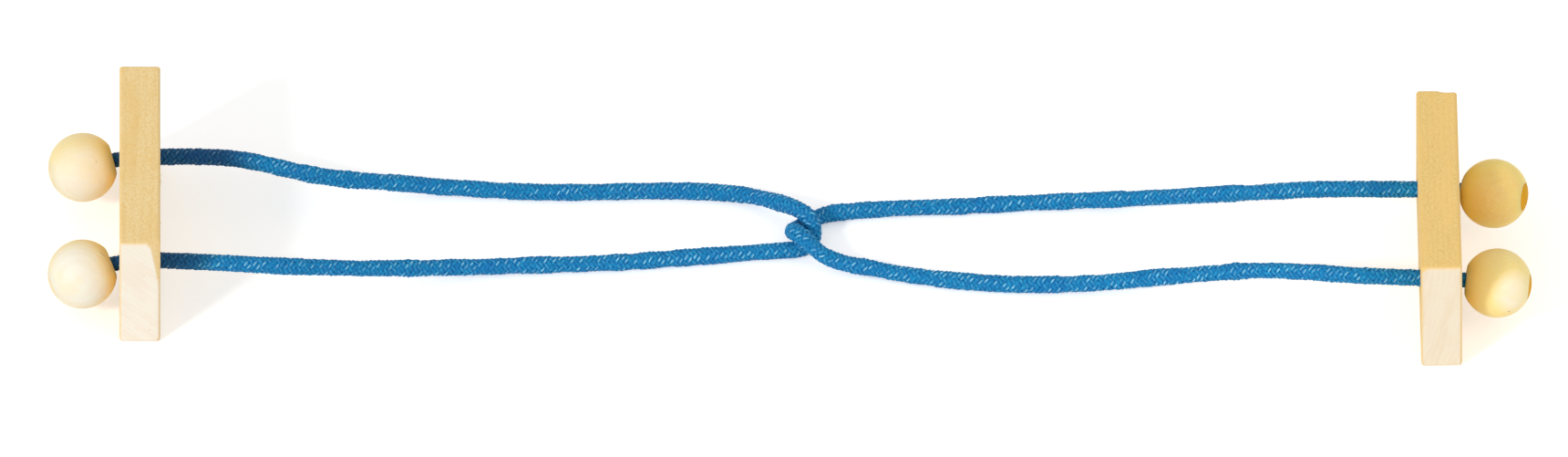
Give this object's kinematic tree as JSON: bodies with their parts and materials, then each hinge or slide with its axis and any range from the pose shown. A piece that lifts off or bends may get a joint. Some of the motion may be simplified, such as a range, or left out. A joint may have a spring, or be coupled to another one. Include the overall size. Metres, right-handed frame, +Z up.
{
  "type": "wooden knot puzzle",
  "caption": "String disentanglement puzzle: wooden bars with cord loops through their holes, ended by beads and hooked through each other in the middle.",
  "frame": {"origin": "middle of the puzzle as it is laid out, on the table under it", "axes": "+X from the left bar to the right bar along the cords, +Y to the rear along the bars, +Z up"},
  "size_m": [0.4282, 0.0831, 0.04],
  "materials": {
    "bar_wood": "satin, pale close-grained hardwood with end grain at both ends",
    "bead_wood": "satin, turned and polished pale hardwood",
    "plug_wood": "satin end grain, sanded flush",
    "cord_braid": "matte braided cotton, slightly fuzzy"
  },
  "bodies": {
    "left_bar": {"left_bar": "bar_wood"},
    "left_cord": {"left_cord": "cord_braid"},
    "left_rear_bead": {"left_rear_bead": "bead_wood", "left_rear_plug": "plug_wood"},
    "left_front_bead": {"left_front_bead": "bead_wood", "left_front_plug": "plug_wood"},
    "right_cord": {"right_cord": "cord_braid"},
    "right_bar": {"right_bar": "bar_wood"},
    "right_rear_bead": {"right_rear_bead": "bead_wood", "right_rear_plug": "plug_wood"},
    "right_front_bead": {"right_front_bead": "bead_wood", "right_front_plug": "plug_wood"}
  },
  "joints": [
    {"name": "left_cord_slide", "type": "slide", "parent": "left_bar", "child": "left_cord", "axis": [-1, 0, 0], "range_m": [0, 0.02]},
    {"name": "halves_slide", "type": "slide", "parent": "left_cord", "child": "right_cord", "axis": [-1, 0, 0], "range_m": [0, 0.02], "deforming": ["right_cord"]},
    {"name": "right_bar_slide", "type": "slide", "parent": "right_cord", "child": "right_bar", "axis": [-1, 0, 0], "range_m": [0, 0.02]},
    {"name": "left_rear_bead_turn", "type": "hinge", "parent": "left_cord", "child": "left_rear_bead", "pos_m": [-0.2039, 0.02443, 0.01539], "axis": [-0.9636, -0.1873, -0.1908], "range_deg": [-180, 180]},
    {"name": "left_front_bead_turn", "type": "hinge", "parent": "left_cord", "child": "left_front_bead", "pos_m": [-0.20405, -0.0179, 0.0142], "axis": [-0.9263, -0.2656, -0.2672], "range_deg": [-180, 180]},
    {"name": "right_rear_bead_turn", "type": "hinge", "parent": "right_cord", "child": "right_rear_bead", "pos_m": [0.20316, 0.01051, 0.01863], "axis": [0.9694, -0.2327, 0.0785], "range_deg": [-180, 180]},
    {"name": "right_front_bead_turn", "type": "hinge", "parent": "right_cord", "child": "right_front_bead", "pos_m": [0.20416, -0.02455, 0.0172], "axis": [0.994, -0.0521, -0.0959], "range_deg": [-180, 180]}
  ]
}
